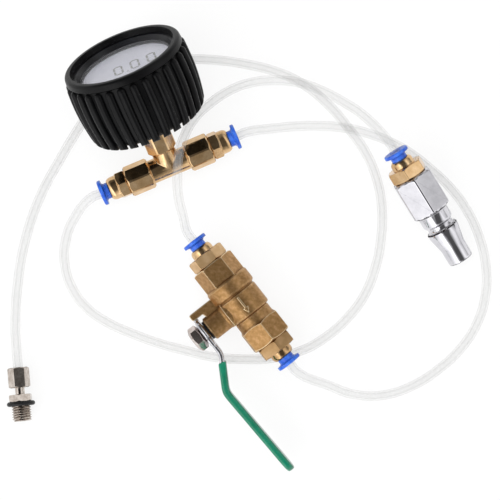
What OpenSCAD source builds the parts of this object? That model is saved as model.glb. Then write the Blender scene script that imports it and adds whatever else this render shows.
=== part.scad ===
// Air suspension leak tester, lying on a table: an air plug feeds a ball valve, the valve feeds
// a tee with a digital pressure gauge, and the tee feeds a threaded fitting for an air strut.
// Three clear hoses join them through push-in fittings with release collets.

/* [Hoses] */
// Outside diameter of the hoses
tube_d = 4; // [3.6:0.1:4.2]
// Bore of the hoses, carried on through the fittings
flow_d = 2.5; // [2:0.1:2.8]

/* [Push-in fittings] */
// Across the flats of the hexagons screwed into the tee
small_af = 10; // [10:0.5:11.5]
// Length of the hexagons screwed into the tee
small_hex_len = 4.2; // [3.5:0.1:5]
// Thread diameter of the fittings in the tee
small_thread_d = 9.6; // [8.8:0.1:9.8]
// Across the flats of the hexagons on the valve and the air plug
big_af = 14; // [13:0.5:15]
// Length of the hexagons on the valve and the air plug
big_hex_len = 5; // [4:0.1:5.6]
// Thread diameter of the fittings in the valve and the air plug
big_thread_d = 12.6; // [11.5:0.1:13]
// Length of the fitting threads
thread_len = 8; // [6:0.5:8.5]
// From the seat of a fitting to its mouth
fitting_len = 8.2; // [7.6:0.1:9.5]
// Diameter of the rounded mouth of a fitting
mouth_d = 8.6; // [8:0.1:9.2]
// Diameter of the release collet's flange
collet_d = 10.4; // [9.6:0.1:10.6]
// Thickness of the release collet's flange
collet_t = 1.6; // [1.2:0.1:2]
// Diameter of the collet's sleeve
sleeve_d = 6.6; // [6.2:0.1:6.8]
// Gap under the flange with the collet out
collet_gap = 2; // [1.6:0.1:2.6]
// How far the tube goes in past the seat of a fitting
tube_depth = 2.5; // [1.5:0.1:4]

/* [Tee] */
// From the middle of the tee to the end of each run boss
run_reach = 18.2; // [16.5:0.1:21]
// From the middle of the tee to the end of its branch boss
branch_reach = 18.2; // [16.5:0.1:21]
// Across the flats of the bosses
boss_af = 12; // [11.6:0.1:13]
// Diameter over the rounded corners of the bosses
boss_d = 12.7; // [12.4:0.1:13.4]
// Length of a boss
boss_len = 10.4; // [9.5:0.1:11]
// Diameter of the tee between the bosses
waist_d = 9.8; // [9:0.1:11]

/* [Gauge] */
// Diameter of the boot's front lip
boot_front_d = 48.3; // [47:0.1:50]
// Diameter over the ribs at the back of the boot
boot_back_d = 47.6; // [46.5:0.1:49]
// Length of the boot
boot_len = 30.1; // [29:0.1:34]
// Rounding of the boot's back edge
boot_edge_r = 2; // [1.4:0.1:3]
// Number of ribs round the boot
rib_count = 30; // [20:1:34]
// Diameter of a rib
rib_d = 3.2; // [2.8:0.1:3.6]
// Height of a rib above the boot
rib_h = 1.7; // [1:0.1:2]
// How far the boot's lip reaches over the bezel
lip_cover = 0.8; // [0.4:0.1:1.4]
// Length of the smooth lip in front of the ribs
lip_len = 3.6; // [3:0.1:5]
// Thickness of the boot round the bezel, with its ribs
boot_grip = 2.15; // [2:0.05:3]
// How far the bezel stands out round the gauge case
bezel_step = 2.8; // [2.2:0.1:3.4]
// Wall of the gauge case
case_wall = 1.4; // [1:0.1:1.8]
// Width of the bezel's rim round the window
bezel_rim = 3.2; // [2.8:0.1:4]
// Thickness of the lens
lens_t = 1.2; // [1:0.1:2]
// Thickness of the display
display_t = 1.6; // [1:0.1:2]
// Thickness of the circuit board
board_t = 1.6; // [1:0.1:2]
// Diameter of the coin cell
cell_d = 20; // [16:0.5:24]
// Thickness of the coin cell
cell_t = 3.2; // [2:0.1:3.6]
// Across the flats of the gauge stem's hexagon
stem_af = 12; // [11.5:0.5:13]
// Length of the gauge stem's hexagon
stem_hex_len = 3.4; // [3:0.1:5]
// From the tee's branch boss to the back of the boot
stem_gap = 3.4; // [2.8:0.1:5]

/* [Ball valve] */
// Across the flats of the valve body's hexagon
valve_af = 16; // [15.5:0.5:17]
// Across the flats of the end cap's hexagon
cap_af = 16.6; // [15.5:0.1:16.8]
// From the ball's centre to the inlet end
valve_in = 20.6; // [19:0.1:23]
// From the ball's centre to the outlet end
valve_out = 19.2; // [18.6:0.1:22]
// Length of the inlet hexagon
valve_hex_len = 9.3; // [8.6:0.1:11]
// Diameter of the collar behind the inlet hexagon
collar_d = 19.4; // [18.8:0.1:20.4]
// Diameter of the ball chamber
chamber_d = 18; // [17.4:0.1:18.8]
// From the ball's centre to the seam of the end cap
seam_at = 5.5; // [5.2:0.1:6.2]
// Diameter of the end cap's neck
neck_d = 15.8; // [15.4:0.1:17]
// Length of the end cap's neck
neck_len = 4.2; // [3.6:0.1:5]
// Diameter of the ball
ball_d = 13.2; // [12.6:0.1:13.4]
// Bore through the ball
ball_bore = 6.5; // [5:0.1:7]
// Diameter of the stem tower
tower_d = 10.2; // [9.6:0.1:11]
// Height of the stem tower above the valve's axis
tower_top = 17.2; // [16.6:0.1:19]
// Diameter of the valve stem
stem_d = 5.8; // [5.2:0.1:6]
// Width of the stop lug
lug_w = 4.4; // [3.6:0.1:5]
// Thickness of the stop lug
lug_t = 2.9; // [2:0.1:3.2]
// Distance of the stop lug from the stem's axis
lug_at = 6.5; // [6.4:0.1:7.4]

/* [Lever] */
// Thickness of the lever's steel strip
lever_t = 2; // [1.6:0.1:2.4]
// From the stem's axis to the lever's tip, without its sleeve
lever_len = 65; // [50:0.5:80]
// Width of the lever's arm
arm_w = 8; // [7:0.1:8.6]
// Height of the lever's step
lever_rise = 8; // [6:0.1:10]
// Angle of the lever's step
step_angle = 31; // [25:1:45]
// Angle that the lever's handle leans back from its hub
handle_lean = 2.2; // [0:0.1:3]
// Bend radius of the lever's step
bend_r = 6; // [4:0.5:8]
// From the stem's axis to the first bend
bend_at = 9; // [8.5:0.1:12]
// Thickness of the sleeve over the strip
sleeve_t = 0.6; // [0.5:0.1:1.2]
// Width of the sleeve at the lever's tip
sleeve_w = 11; // [10.4:0.1:13]
// Across the flats of the lever's nut
nut_af = 9.6; // [9:0.1:10]
// Height of the lever's nut
nut_h = 5; // [4:0.1:6]

/* [Air plug] */
// Across the flats of the plug's hexagon
plug_af = 16; // [15.5:0.5:19]
// Length of the plug's hexagon
plug_hex_len = 17.2; // [13:0.1:20]
// Length of the whole plug
plug_len = 40.7; // [38.5:0.1:44]
// Diameter of the shank behind the locking groove
shank_d = 13; // [12:0.1:14]
// Length of the shank
shank_len = 5.2; // [4:0.1:6]
// Diameter of the locking groove
groove_d = 11; // [10:0.1:11.6]
// Length of the locking groove
groove_len = 2.5; // [2:0.1:3]
// Diameter of the shoulder in front of the groove
shoulder_d = 13.4; // [12.4:0.1:14]
// Diameter of the plug's nose
nose_d = 10.6; // [10:0.1:11.4]
// Length of the plug's straight nose
nose_len = 7; // [5:0.1:8]

/* [Strut fitting] */
// Thread diameter of the strut fitting
strut_thread_d = 8; // [7.6:0.1:9]
// Length of the strut fitting's thread
strut_thread_len = 6.2; // [5:0.1:10]
// Across the flats of the strut fitting's nut
strut_nut_af = 7.8; // [7.6:0.1:9]
// Length of the strut fitting's nut
strut_nut_len = 8.2; // [7.6:0.1:10]
// Diameter of the slotted neck
strut_neck_d = 3.9; // [3.6:0.1:5]
// Length of the neck that shows
strut_neck_len = 2.8; // [1.5:0.1:4]
// Across the flats of the strut fitting's body
strut_body_af = 8.6; // [8.2:0.1:9.6]
// Length of the body's hexagon
strut_body_len = 2.8; // [2:0.1:4]
// Outside diameter of the strut fitting's O-ring
strut_ring_d = 11.5; // [11:0.1:12.4]
// Section of the strut fitting's O-ring
strut_ring_t = 1.9; // [1.6:0.1:2.2]

/* [Layout on the table] */
// Middle of the tee, to the right of the origin
tee_x = -3.4; // [-6:0.1:0]
// Middle of the tee, behind the origin
tee_y = 33.4; // [31:0.1:36]
// Lean of the gauge's axis above the table
gauge_lean = 28.5; // [26:0.1:31]
// Direction of the tee's run
tee_angle = 22.9; // [20:0.1:26]
// Ball of the valve, to the right of the origin
valve_x = 26.5; // [24:0.1:29]
// Ball of the valve, behind the origin
valve_y = -22.8; // [-25:0.1:-20]
// Direction of the valve's flow
valve_angle = -51.9; // [-55:0.1:-49]
// Seat of the plug's fitting, to the right of the origin
plug_x = 94.2; // [91:0.1:97]
// Seat of the plug's fitting, behind the origin
plug_y = 28.7; // [26:0.1:31]
// Direction of the plug
plug_angle = -57.5; // [-60:0.1:-55]
// Hose end of the strut fitting, to the right of the origin
strut_x = -65.5; // [-68:0.1:-62]
// Hose end of the strut fitting, behind the origin
strut_y = -49.3; // [-51:0.1:-46]
// Direction of the strut fitting
strut_angle = -84.4; // [-88:0.1:-80]

/* [Hidden] */
$fn = 48;
tiny = 0.01;
// Clearances: threads and seats, sliding parts, turning parts, seals
seat_gap = 0.05;
slide_gap = 0.1;
turn_gap = 0.08;
seal_gap = 0.03;
// Room left between moving parts and their stops
stop_gap = 0.3;
// Chamfer on the corners of turned hexagons
hex_chamfer = 0.5;

// Push-in fittings, measured outwards from the seat
socket_d = sleeve_d + 2 * slide_gap;
seal_t = (socket_d - tube_d) / 2 - seal_gap - slide_gap / 2;
seal_at = 0.5;
grip_at = seal_at + seal_t + 2 * seat_gap;
grip_len = 1;
collet_in = grip_at + grip_len + 2.2;
collet_out = fitting_len + collet_gap;
collet_bore = tube_d + 2 * slide_gap;
fitting_reach = collet_out + collet_t;

// Tee and gauge, measured from the middle of the tee along the gauge's axis
boot_back = branch_reach + stem_gap;
boot_front = boot_back + boot_len;
boot_wall = 2.4;
// The gauge fits the narrower end of the boot
boot_taper = 0.7;
bezel_d = min(boot_front_d, boot_back_d + boot_taper) - 2 * boot_grip;
lip_open_d = bezel_d - 2 * lip_cover;
case_d = bezel_d - 2 * bezel_step;
window_d = bezel_d - 2 * bezel_rim;
case_back = boot_back + boot_wall;
lip_t = 2.6;
bezel_front = boot_front - lip_t;
bezel_lip = 1.8;
lens_front = bezel_front - bezel_lip;
lens_back = lens_front - lens_t;
gasket_t = 0.8;
case_front = lens_back - gasket_t;
lens_gap = 0.2;
display_back = lens_back - lens_gap - display_t;
board_front = display_back - cell_t - 0.3;
board_back = board_front - board_t;
bezel_skirt = 2.4;
cover_d = bezel_d - 2.5;
ledge_w = 0.7;
board_d = case_d - 2 * case_wall - 1.4;
post_d = 3;
post_at = case_d / 2 - case_wall - post_d / 2 - 0.6;
stem_neck_d = 9;
stem_nut_af = 13;
stem_nut_h = 2.6;
sensor_d = 7.6;
sensor_back = case_back + case_wall + stem_nut_h + 0.6;
boot_hole_d = stem_af / cos(30) + 3;
// The ribs stand out a little past the lip, and the core between them ends in a larger rounding
rib_over = 0.5;
core_front_r = boot_front_d / 2 + rib_over - rib_h;
core_edge_r = 2 * boot_edge_r;
core_back_r = boot_back_d / 2 - rib_h;
rib_front = boot_front - lip_len - rib_d / 2;
// The boot lies on its back edge, which sets the height of the tee
edge_ring = boot_back_d / 2 - boot_edge_r;
edge_arm = boot_back + boot_edge_r;
tee_z = boot_edge_r + edge_ring * cos(gauge_lean) - edge_arm * sin(gauge_lean);

// Ball valve, measured from the ball's centre
cavity_d = ball_d + 0.9;
cap_thread_d = cavity_d - 2 * seat_gap;
seat_d = ball_d - 2.2;
seat_front = 4;
seat_back = 6;
cap_in = 3.8;
port_depth = thread_len + 0.6;
collar_at = valve_in - valve_hex_len;
collar_end = 4.7;
cap_hex_at = seam_at + neck_len;
cap_hex_turn = 25;
arc_x = bend_r * sin(step_angle);
stem_collar_d = 7.8;
stem_collar_at = cavity_d / 2 + 0.1;
stem_collar_t = 1.5;
washer_at = stem_collar_at + stem_collar_t + seat_gap;
washer_t = 0.8;
packing_d = 7.2;
packing_at = 12;
gland_d = 8.4;
gland_t = 1;
blade_t = 2.2;
blade_w = 6.4;
blade_in = 4.5;
lever_z = tower_top + gland_t + stop_gap;
lever_mid = lever_z + lever_t / 2;
stem_thread_d = 5;
stem_flat = 4.4;
nut_z = lever_z + lever_t;
stem_hold = nut_h - 0.5;
nut_chamfer = 1.1;
lug_top = lever_z + lever_t;
hub_d = 1.5 * arm_w;
ear_len = arm_w / 2;
ear_out = lug_at + 1.2;
lever_near = bend_at + arc_x + 1.2;

// Air plug, measured from the seat of its fitting towards the nose
plug_hex_turn = 3;
plug_chamfer = 1.1;
tip_chamfer = 0.6;
plug_low = plug_af / 2 / cos(30) * cos(plug_hex_turn);
shank_end = plug_hex_len + shank_len;
groove_end = shank_end + groove_len;
nose_at = plug_len - nose_len;
plug_bore = 6.4;
// The hexagon's corner and the tip of the nose lie on the table, which sets the plug's dip
plug_rest = plug_hex_len - plug_chamfer;
plug_dip = atan((plug_low - nose_d / 2) / (plug_len - tip_chamfer - plug_rest));
plug_z = plug_rest * sin(plug_dip) + plug_low * cos(plug_dip);

// Strut fitting, measured from its hose end
strut_neck_at = strut_nut_len;
strut_body_at = strut_neck_at + strut_neck_len;
strut_ring_at = strut_body_at + strut_body_len;
strut_thread_at = strut_ring_at + strut_ring_t;
strut_len = strut_thread_at + strut_thread_len;
strut_stop = 4.8;
strut_collar_d = 6;
strut_collar_end = 7.6;
strut_lip = 1.5;
// The nut's end and the O-ring lie on the table, which sets the fitting's rise
ring_r = (strut_ring_d - strut_ring_t) / 2;
ring_mid = strut_ring_at + strut_ring_t / 2;
strut_roll = 12;
nut_low = strut_nut_af / 2 / cos(30) * cos(30 - strut_roll);
ring_lift = ring_r - nut_low;
strut_rise = asin(strut_ring_t / 2 / norm([ring_mid, ring_lift])) + atan2(ring_lift, ring_mid);
strut_z = nut_low * cos(strut_rise);

// Turning a point about one axis
function turn_x(a, p) = [p.x, p.y * cos(a) - p.z * sin(a), p.y * sin(a) + p.z * cos(a)];
function turn_y(a, p) = [p.x * cos(a) + p.z * sin(a), p.y, p.z * cos(a) - p.x * sin(a)];
function turn_z(a, p) = [p.x * cos(a) - p.y * sin(a), p.x * sin(a) + p.y * cos(a), p.z];

// Middle of the gauge, tee and valve on the table
middle = [3.1, -1.25, 0];

// Where a point of each assembly lies on the table
function tee_point(p) = [tee_x, tee_y, tee_z] + turn_z(tee_angle, turn_x(gauge_lean - 90, p));
function valve_point(p) = [valve_x, valve_y, collar_d / 2] + turn_z(valve_angle, turn_x(90, p));
function plug_point(p) = [plug_x, plug_y, plug_z] + turn_z(plug_angle, turn_y(plug_dip, p));
function strut_point(p) = [strut_x, strut_y, strut_z] + turn_z(strut_angle, turn_y(-strut_rise, p));

// Hose routes: the ends follow the fittings, the points between lie on the table
straight = fitting_reach + 4;
tube_end = seat_gap - tube_depth;
supply_route = concat(
    [for (s = [tube_end, fitting_reach, straight]) valve_point([-valve_in - s, 0, 0])],
    [[2.5, 12, 13.5], [0.5, 21, 16], [0.3, 30, 17.2], [1, 38, 17.2], [3.2, 45, 16], [7, 52, 13.5],
     [13, 58, 10.8], [20, 63, 8.8], [28, 66.5, 7.4], [38.5, 68, 6.8], [49.5, 67, 6.8], [58, 64, 7],
     [67.5, 59, 8], [76, 53, 10]],
    [for (s = [straight, fitting_reach, tube_end]) plug_point([-s, 0, 0])]);
test_route = concat(
    [for (s = [tube_end, fitting_reach, straight]) tee_point([-run_reach - s, 0, 0])],
    [[-42, 12.5, 4.5], [-46, 3.5, 2.5], [-46.5, -8, 2], [-43, -18, 2], [-37, -25.5, 2], [-29, -31, 2],
     [-19, -35.5, 2], [-8, -39.5, 2], [3, -42.5, 2], [14, -45, 2], [26, -46, 2], [38, -45.6, 2],
     [50, -42.7, 2], [60.5, -37, 2], [69.5, -29, 2], [76.5, -19.5, 2], [81, -8, 2], [83.2, 4, 2],
     [83.5, 16, 2], [81.5, 27.5, 2], [77, 38.5, 2], [70, 48.5, 2], [61.5, 58.5, 2], [51, 67, 2],
     [40, 72, 2], [27, 75.2, 2], [15, 76.8, 2], [3, 77, 2], [-9, 75.8, 2], [-20, 72.8, 2],
     [-30.5, 65, 2], [-38.5, 52.5, 2], [-48, 37, 2], [-57, 20, 2], [-63, 2, 2],
     [-66, -16, 2], [-66.9, -33, 2.2]],
    [for (s = [-8, 0, strut_stop - 0.1]) strut_point([s, 0, 0])]);
link_route = concat(
    [for (s = [tube_end, fitting_reach, straight]) tee_point([run_reach + s, 0, 0])],
    [[38, 48.2, 8], [48, 49.2, 7], [58, 49.4, 6.8], [68, 48.6, 6.8], [77, 46.6, 6], [86, 43.4, 4],
     [94.5, 39, 2.4], [103, 32.5, 2], [111.5, 24.5, 2], [118.5, 15, 2], [123.5, 4, 2], [126.2, -8, 2],
     [126, -20, 2], [122.5, -31.5, 2], [116, -41.5, 2], [107, -50, 2], [96, -57, 2], [84, -60.8, 2],
     [72, -60.4, 2.8], [61.5, -56.5, 5]],
    [for (s = [straight, fitting_reach, tube_end]) valve_point([valve_out + s, 0, 0])]);

// Placing the assemblies on the table
module at_tee() translate([tee_x, tee_y, tee_z] - middle) rotate([gauge_lean - 90, 0, tee_angle]) children();
module at_valve()
    translate([valve_x, valve_y, collar_d / 2] - middle) rotate([90, 0, valve_angle]) children();
module at_plug() translate([plug_x, plug_y, plug_z] - middle) rotate([0, plug_dip, plug_angle]) children();
module at_strut()
    translate([strut_x, strut_y, strut_z] - middle) rotate([0, -strut_rise, strut_angle]) children();

// Each push-in fitting sits with its seat at z = 0 and its mouth towards +Z
module at_port(port) {
    if (port == "tee_left") at_tee() translate([-run_reach, 0, 0]) rotate([0, -90, 0]) children();
    if (port == "tee_right") at_tee() translate([run_reach, 0, 0]) rotate([0, 90, 0]) children();
    if (port == "inlet") at_valve() translate([-valve_in, 0, 0]) rotate([0, -90, 0]) children();
    if (port == "outlet") at_valve() translate([valve_out, 0, 0]) rotate([0, 90, 0]) children();
    if (port == "plug") at_plug() rotate([0, -90, 0]) children();
}

// A bar along +X instead of +Z
module along_x() rotate([0, 90, 0]) children();

module ring(outer, inner, len) {
    difference() {
        cylinder(d = outer, h = len);
        translate([0, 0, -1]) cylinder(d = inner, h = len + 2);
    }
}

// A hexagon bar with its end corners turned down
module hexagon(af, len, turn = 0, chamfer = hex_chamfer) {
    corner = af / 2 / cos(30);
    intersection() {
        rotate([0, 0, turn]) cylinder(r = corner, h = len, $fn = 6);
        rotate_extrude() polygon([[0, 0], [corner - 2 * chamfer, 0], [corner + 1, chamfer + 0.5],
                                  [corner + 1, len - chamfer - 0.5], [corner - 2 * chamfer, len], [0, len]]);
    }
}

// An eight-sided boss with rounded corners
module boss(len) {
    intersection() {
        rotate([0, 0, 22.5]) cylinder(d = boss_af / cos(22.5), h = len, $fn = 8);
        rotate_extrude() polygon([[0, 0], [boss_d / 2 - 0.8, 0], [boss_d / 2, 0.8],
                                  [boss_d / 2, len - 0.5], [boss_d / 2 - 0.5, len], [0, len]]);
    }
}

// Points of an arc about a centre
function arc(centre, r, from, to, steps = 8) =
    [for (i = [0:steps]) let (a = from + (to - from) * i / steps) centre + r * [cos(a), sin(a)]];

module gauge_boot() {
    color("#1c1c1e") at_tee() {
        difference() {
            intersection() {
                union() {
                    rotate_extrude() polygon(concat(
                        [[0, boot_back]],
                        arc([core_back_r - core_edge_r, boot_back + core_edge_r], core_edge_r, -90, 0),
                        [[core_front_r, boot_front - lip_len],
                         [boot_front_d / 2, boot_front - lip_len + 0.8]],
                        arc([boot_front_d / 2 - 1.2, boot_front - 1.2], 1.2, 0, 90),
                        [[0, boot_front]]));
                    boot_ribs();
                }
                rotate_extrude() polygon(concat(
                    [[0, boot_back]],
                    arc([edge_ring, edge_arm], boot_edge_r, -90, -5),
                    [[boot_front_d / 2 + rib_h, rib_front], [boot_front_d / 2 + rib_h, boot_front],
                     [0, boot_front]]));
            }
            boot_hollow();
        }
    }
}

// Ribs follow the taper of the boot, one of them on the table
module boot_ribs() {
    sink = rib_d / 2 - rib_h;
    low = [core_back_r - sink, boot_back - 1];
    high = [core_front_r - sink, rib_front];
    lean = atan2(high.x - low.x, high.y - low.y);
    for (i = [0:rib_count - 1]) rotate([0, 0, 90 + i * 360 / rib_count]) {
        translate([low.x, 0, low.y]) rotate([0, lean, 0]) cylinder(d = rib_d, h = norm(high - low));
        translate([high.x, 0, high.y]) sphere(d = rib_d);
    }
}

module boot_hollow() {
    rotate_extrude() polygon([
        [0, boot_back - 1], [boot_hole_d / 2, boot_back - 1], [boot_hole_d / 2, case_back],
        [case_d / 2 + slide_gap, case_back], [case_d / 2 + slide_gap, case_front - bezel_skirt - slide_gap],
        [bezel_d / 2 + slide_gap, case_front - bezel_skirt - slide_gap],
        [bezel_d / 2 + slide_gap, bezel_front + slide_gap], [lip_open_d / 2, bezel_front + slide_gap],
        [lip_open_d / 2 + 0.8, boot_front + 1], [0, boot_front + 1]]);
}

module gauge_case() {
    inside = case_d / 2 - case_wall;
    color("#2b2b2e") at_tee() {
        rotate_extrude() polygon([
            [stem_neck_d / 2 + seat_gap, case_back], [case_d / 2, case_back],
            [case_d / 2, case_front - bezel_skirt], [cover_d / 2, case_front - bezel_skirt],
            [cover_d / 2, case_front], [inside + ledge_w, case_front], [inside + ledge_w, display_back],
            [inside, display_back], [inside, case_back + case_wall],
            [stem_neck_d / 2 + seat_gap, case_back + case_wall]]);
        for (a = [30, 150, 270]) rotate([0, 0, a]) translate([post_at, 0, case_back + case_wall - tiny])
            cylinder(d = post_d, h = board_back - case_back - case_wall + tiny);
    }
}

// The bezel screws over the case's front flange and clamps the lens on its gasket
module gauge_bezel() {
    color("#3a3a3f") at_tee() rotate_extrude() polygon([
        [cover_d / 2 + seat_gap, case_front - bezel_skirt], [bezel_d / 2, case_front - bezel_skirt],
        [bezel_d / 2, bezel_front], [window_d / 2 + 1.4, bezel_front], [window_d / 2, lens_front],
        [cover_d / 2 + seat_gap, lens_front]]);
}

module gauge_lens() {
    color("#d9dbe6", 0.5) at_tee() translate([0, 0, lens_back])
        cylinder(d = cover_d, h = lens_t);
}

module lens_gasket() {
    color("#222222") at_tee() translate([0, 0, case_front])
        ring(cover_d, window_d + 2 * lens_gap, gasket_t);
}

module display() {
    color("#b4b6c8") at_tee() translate([0, 0, display_back])
        cylinder(d = case_d - 2 * case_wall + 2 * ledge_w - 2 * seat_gap, h = display_t);
}

module circuit_board() {
    color("#1f6b3a") at_tee() translate([0, 0, board_back]) cylinder(d = board_d, h = board_t);
}

module coin_cell() {
    color("#c9c9c9") at_tee() translate([0, 0, board_front]) union() {
        cylinder(d = cell_d, h = cell_t * 0.8);
        cylinder(d = cell_d - 2.4, h = cell_t);
    }
}

module pressure_sensor() {
    color("#b8b8bc") at_tee() translate([0, 0, sensor_back])
        ring(sensor_d, flow_d, board_back - sensor_back);
}

module gauge_stem() {
    color("#b8934a") at_tee() difference() {
        union() {
            translate([0, 0, branch_reach - thread_len]) cylinder(d = small_thread_d, h = thread_len);
            translate([0, 0, branch_reach]) hexagon(stem_af, stem_hex_len);
            translate([0, 0, branch_reach + stem_hex_len - tiny])
                cylinder(d = stem_neck_d + 2, h = case_back - branch_reach - stem_hex_len + tiny);
            translate([0, 0, case_back - tiny])
                cylinder(d = stem_neck_d, h = sensor_back - case_back + tiny);
        }
        translate([0, 0, branch_reach - thread_len - 1])
            cylinder(d = flow_d, h = sensor_back - branch_reach + thread_len + 2);
    }
}

module stem_nut() {
    color("#b8934a") at_tee() translate([0, 0, case_back + case_wall]) difference() {
        hexagon(stem_nut_af, stem_nut_h);
        translate([0, 0, -1]) cylinder(d = stem_neck_d + 2 * seat_gap, h = stem_nut_h + 2);
    }
}

module tee_body() {
    color("#b08a45") at_tee() difference() {
        union() {
            along_x() translate([0, 0, -run_reach]) cylinder(d = waist_d, h = 2 * run_reach);
            cylinder(d = waist_d, h = branch_reach);
            translate([run_reach - boss_len, 0, 0]) along_x() boss(boss_len);
            translate([boss_len - run_reach, 0, 0]) rotate([0, -90, 0]) boss(boss_len);
            translate([0, 0, branch_reach - boss_len]) boss(boss_len);
        }
        along_x() translate([0, 0, -run_reach - 1]) cylinder(d = flow_d * 1.6, h = 2 * run_reach + 2);
        cylinder(d = flow_d * 1.6, h = branch_reach + 1);
        for (s = [-1, 1]) translate([s * (run_reach - thread_len - 0.4), 0, 0]) rotate([0, s * 90, 0])
            cylinder(d = small_thread_d + 2 * seat_gap, h = thread_len + 1.4);
        translate([0, 0, branch_reach - thread_len - 0.4])
            cylinder(d = small_thread_d + 2 * seat_gap, h = thread_len + 1.4);
    }
}

// A male push-in fitting: thread, hexagon and a domed mouth
module push_in_body(af, hex_len, thread_d, turn) {
    rim = mouth_d / 2 + 0.5;
    dome_r = (fitting_len - hex_len) * 0.75;
    dome_turn = acos(1 - (rim - socket_d / 2 - 0.45) / dome_r);
    dome_at = fitting_len - dome_r * sin(dome_turn);
    difference() {
        union() {
            translate([0, 0, -thread_len]) cylinder(d = thread_d, h = thread_len + tiny);
            hexagon(af, hex_len, turn);
            rotate_extrude() polygon(concat(
                [[0, 0], [rim, 0]], arc([rim - dome_r, dome_at], dome_r, 0, dome_turn), [[0, fitting_len]]));
        }
        translate([0, 0, -thread_len - 1]) cylinder(d = flow_d, h = thread_len + 2);
        translate([0, 0, -tube_depth]) cylinder(d = collet_bore, h = fitting_len);
        translate([0, 0, seal_at]) cylinder(d = socket_d, h = fitting_len);
    }
}

module small_push_in(port, turn) {
    color("#c09a52") at_port(port) push_in_body(small_af, small_hex_len, small_thread_d, turn);
}

module big_push_in(port, turn) {
    color("#c09a52") at_port(port) push_in_body(big_af, big_hex_len, big_thread_d, turn);
}

// The release collet slides into the fitting when its flange is pressed
module release_collet(port) {
    color("#1f5fd6") at_port(port) rotate_extrude() polygon([
        [collet_bore / 2 + 0.5, collet_in], [sleeve_d / 2 - 0.3, collet_in], [sleeve_d / 2, collet_in + 0.5],
        [sleeve_d / 2, collet_out - 0.5], [sleeve_d / 2 + 0.5, collet_out],
        [collet_d / 2, collet_out + 0.2], [collet_d / 2, fitting_reach - 0.3],
        [collet_d / 2 - 0.3, fitting_reach], [collet_bore / 2 + 0.4, fitting_reach],
        [collet_bore / 2, fitting_reach - 0.4], [collet_bore / 2, collet_in + 0.6]]);
}

// A steel ring whose teeth lean inwards and hold the hose
module grip_ring(port) {
    leaf = 0.35;
    teeth = 8;
    color("#c4c4c4") at_port(port) translate([0, 0, grip_at]) difference() {
        rotate_extrude() polygon([
            [tube_d / 2 + seal_gap, 0], [tube_d / 2 + seal_gap + leaf, 0],
            [sleeve_d / 2 - leaf, grip_len - leaf], [sleeve_d / 2, grip_len - leaf],
            [sleeve_d / 2, grip_len], [sleeve_d / 2 - leaf * 1.5, grip_len]]);
        for (i = [0:teeth - 1]) rotate([0, 0, i * 360 / teeth])
            translate([0, -leaf / 2, -1]) cube([tube_d / 2 + leaf * 2, leaf, grip_len + 1.4]);
    }
}

module tube_seal(port) {
    color("#222222") at_port(port) translate([0, 0, seal_at + seat_gap + seal_t / 2]) rotate_extrude()
        translate([tube_d / 2 + seal_gap + seal_t / 2, 0]) circle(d = seal_t);
}

module valve_body() {
    color("#a8843f") at_valve() difference() {
        union() {
            translate([-valve_in, 0, 0]) along_x() hexagon(valve_af, valve_hex_len + 1);
            along_x() rotate_extrude() polygon(concat(
                [[0, -collar_at - 0.6], [valve_af / 2, -collar_at - 0.6], [collar_d / 2 - 0.4, -collar_at]],
                [[collar_d / 2, -collar_at + 0.6], [collar_d / 2, -collar_end - 2]],
                arc([collar_d / 2 - 1.2, -collar_end - 1.6], 1.2, 0, 70, 5),
                [[chamber_d / 2 - 0.5, -collar_end], [chamber_d / 2, -collar_end + 0.6]],
                [[chamber_d / 2, seam_at - 1]],
                arc([chamber_d / 2 - 1, seam_at - 1], 1, 0, 90, 5),
                [[0, seam_at]]));
            stem_tower();
            stop_lug();
        }
        translate([-seat_front, 0, 0]) along_x() cylinder(d = cavity_d, h = seat_front + seam_at + 1);
        translate([-seat_back, 0, 0]) along_x() cylinder(d = seat_d + 2 * seat_gap, h = seat_back);
        translate([-valve_in - 1, 0, 0]) along_x() cylinder(d = ball_bore, h = valve_in);
        translate([-valve_in - 1, 0, 0]) along_x()
            cylinder(d = big_thread_d + 2 * seat_gap, h = port_depth + 1);
        cylinder(d = stem_collar_d + 2 * turn_gap, h = washer_at + washer_t);
        cylinder(d = stem_d + 2 * turn_gap, h = tower_top + 1);
        translate([0, 0, packing_at]) cylinder(d = packing_d + 2 * seat_gap, h = tower_top);
    }
}

module stem_tower() {
    foot = 1.6;
    intersection() {
        rotate_extrude() polygon(concat(
            [[0, 0], [tower_d / 2 + foot, 0], [tower_d / 2 + foot, chamber_d / 2 - 0.9]],
            arc([tower_d / 2 + foot, chamber_d / 2 - 0.9 + foot], foot, -90, -180, 6),
            [[tower_d / 2, tower_top - 0.4], [tower_d / 2 - 0.4, tower_top], [0, tower_top]]));
        translate([-chamber_d, -chamber_d, 0])
            cube([chamber_d + seam_at - 0.2, 2 * chamber_d, 2 * tower_top]);
    }
}

// A cast web beside the tower ends in the finger that stops the lever
module stop_lug() {
    finger = lug_at + lug_t;
    translate([0, lug_w / 2, 0]) rotate([90, 0, 0]) linear_extrude(lug_w) polygon(concat(
        [[-finger, 0], [0, 0], [-tower_d / 2 + 1, tower_top - 2.4], [-lug_at, tower_top - 1.6]],
        arc([-lug_at - 0.9, lug_top - 0.9], 0.9, 0, 90, 4),
        [[-finger + 0.4, lug_top], [-finger, lug_top - 0.6]]));
}

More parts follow.
